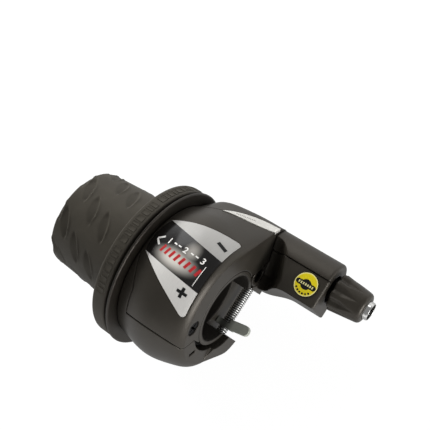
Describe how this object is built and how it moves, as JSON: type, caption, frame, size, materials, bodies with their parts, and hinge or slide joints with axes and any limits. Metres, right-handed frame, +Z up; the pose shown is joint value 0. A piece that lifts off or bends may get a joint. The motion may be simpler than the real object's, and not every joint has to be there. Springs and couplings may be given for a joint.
{
  "type": "twist grip shifter",
  "caption": "Bicycle twist grip shifter: a rubber grip turns on a bar sleeve and winds a cable drum in a clamped housing with a printed label, a cable arm and a barrel adjuster.",
  "frame": {"origin": "on the handlebar's axis, at the housing's inboard face", "axes": "+X along the handlebar, from its end towards the stem; +Z up through the label; +Y forwards to the cable arm"},
  "size_m": [0.0918, 0.0565, 0.0526],
  "materials": {
    "housing_plastic": "satin moulded",
    "barrel_plastic": "moulded",
    "inner_plastic": "moulded",
    "knob_plastic": "satin moulded",
    "grip_rubber": "matte moulded",
    "label_print": "gloss printed",
    "strip_foil": "silver foil",
    "sticker_print": "gloss printed",
    "plated_steel": "zinc plated",
    "bright_steel": "bright plated",
    "black_steel": "blackened"
  },
  "bodies": {
    "base": {"base_bracket": "housing_plastic", "upper_cover": "housing_plastic", "arm_cap": "housing_plastic", "label_plate": "label_print", "shoulder_strip": "strip_foil", "round_sticker": "sticker_print", "clamp_band": "black_steel", "clamp_plate": "plated_steel", "clamp_nut": "plated_steel", "clamp_screw": "bright_steel", "cover_screws": "black_steel", "cable_guide": "inner_plastic", "friction_disc": "inner_plastic", "disc_spring": "plated_steel", "thrust_washer": "plated_steel", "retaining_ring": "plated_steel", "adjuster_bush": "black_steel"},
    "grip": {"grip_barrel": "barrel_plastic", "rubber_grip": "grip_rubber", "cable_drum": "inner_plastic"},
    "ferrule": {"adjuster_ferrule": "bright_steel"},
    "knob": {"adjuster_knob": "knob_plastic", "adjuster_barrel": "black_steel"}
  },
  "joints": [
    {"name": "grip_twist", "type": "hinge", "parent": "base", "child": "grip", "pos_m": [0, 0, 0], "axis": [1, 0, 0], "range_deg": [0, 80]},
    {"name": "adjuster_advance", "type": "slide", "parent": "base", "child": "ferrule", "axis": [1, 0, 0], "range_m": [0, 0.0032]},
    {"name": "adjuster_turn", "type": "hinge", "parent": "ferrule", "child": "knob", "pos_m": [0.028, 0.0221, -0.009], "axis": [1, 0, 0], "range_deg": [0, 1441]}
  ],
  "couplings": [
    {"joint": "adjuster_turn", "follows": "adjuster_advance", "rad_per_m": 7854}
  ]
}
